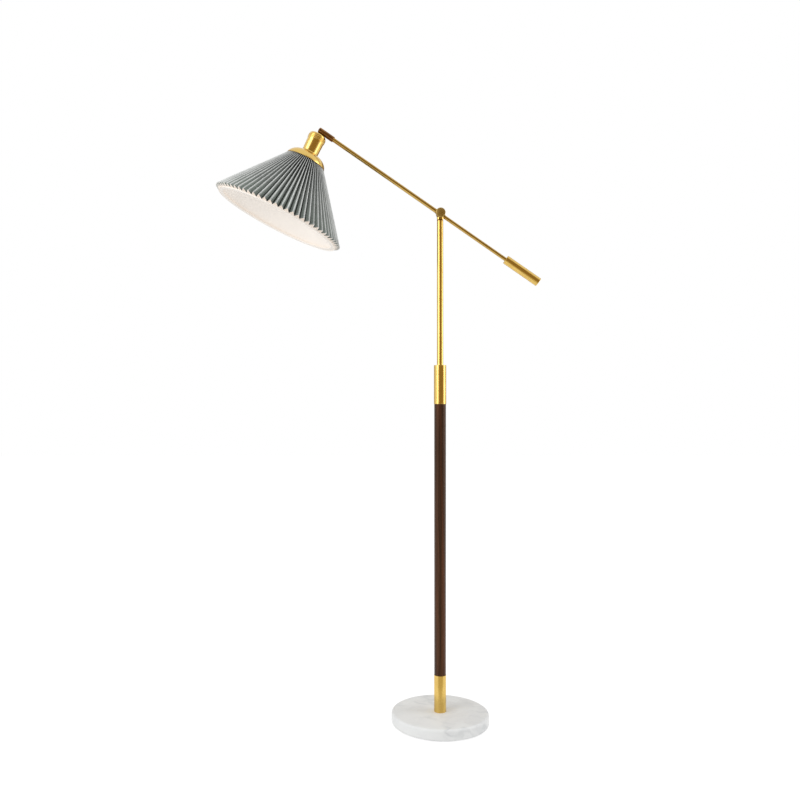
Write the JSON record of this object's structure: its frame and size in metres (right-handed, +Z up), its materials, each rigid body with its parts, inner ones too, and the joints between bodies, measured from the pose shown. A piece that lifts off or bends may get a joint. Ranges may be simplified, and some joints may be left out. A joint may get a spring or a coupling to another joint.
{
  "type": "bridge floor lamp",
  "caption": "Floor lamp with a round marble foot, a walnut and brass pole, a counterweighted arm that swivels and tilts, and a pleated cone shade on a hinged head.",
  "frame": {"origin": "centre of the foot's underside, on the floor under the pole", "axes": "+Z up along the pole; the lamp's head reaches towards -X and the counterweight towards +X; -Y is the pictured side with the clamp knob, and +Y the back with the cord inlet"},
  "size_m": [0.8359, 0.353, 1.5343],
  "materials": {
    "marble": "honed, faint grey veins",
    "pad": "matte",
    "steel": "zinc plated",
    "black_steel": "black oxide",
    "black_plastic": "matte",
    "white_plastic": "matte",
    "brass": "satin brushed",
    "contact_brass": "plain",
    "bronze": "satin bronze",
    "walnut": "satin oiled",
    "white_enamel": "satin enamel",
    "aluminium": "plain",
    "liner": "matte",
    "pleated_cloth": "pleated weave",
    "opal_glass": "opal white"
  },
  "bodies": {
    "stand": {"base_pad": "pad", "marble_base": "marble", "clamp_plate": "steel", "spring_washer": "steel", "tie_nut": "steel", "tie_tube": "steel", "cord_gland": "black_plastic", "lower_ferrule": "brass", "lower_plug": "steel", "walnut_pole": "walnut", "core_tube": "steel", "upper_ferrule": "brass", "upper_plug": "steel", "ferrule_screws": "black_steel", "mast_tube": "brass", "mast_bush": "bronze"},
    "yoke": {"pivot_fork": "brass", "swivel_washer": "white_plastic", "swivel_nut": "steel", "pivot_bolt": "bronze", "friction_washers": "black_plastic", "clamp_washer": "steel"},
    "knob": {"clamp_knob": "bronze"},
    "arm": {"arm_block": "bronze", "tube_insert": "brass", "front_arm_tube": "brass", "rear_arm_rod": "brass", "counterweight": "brass", "weight_screw": "black_steel", "hinge_sleeve": "bronze", "sleeve_screw": "black_steel", "hinge_screw": "black_steel", "hinge_washers": "steel"},
    "head": {"head_knuckle": "bronze", "stem_nut": "steel", "lampholder_cup": "brass", "bell_cap": "brass", "lampholder": "white_plastic", "holder_contacts": "contact_brass", "retaining_ring": "white_plastic", "shade_carrier": "white_enamel", "shade_top_ring": "white_enamel", "shade_hoop": "white_enamel", "shade_liner": "liner", "pleated_shade": "pleated_cloth", "bulb_cap": "aluminium", "bulb_glass": "opal_glass"}
  },
  "joints": [
    {"name": "arm_swivel", "type": "hinge", "parent": "stand", "child": "yoke", "pos_m": [0, 0, 1.3], "axis": [0, 0, 1], "range_deg": [-170, 170]},
    {"name": "arm_tilt", "type": "hinge", "parent": "yoke", "child": "arm", "pos_m": [0, 0, 1.3124], "axis": [0, 1, 0], "range_deg": [-60, 7]},
    {"name": "head_tilt", "type": "hinge", "parent": "arm", "child": "head", "pos_m": [-0.30842, 0, 1.52676], "axis": [0, 1, 0], "range_deg": [-4, 75]},
    {"name": "knob_turn", "type": "hinge", "parent": "yoke", "child": "knob", "pos_m": [0, -0.015, 1.3124], "axis": [0, -1, 0], "range_deg": [0, 360]}
  ]
}
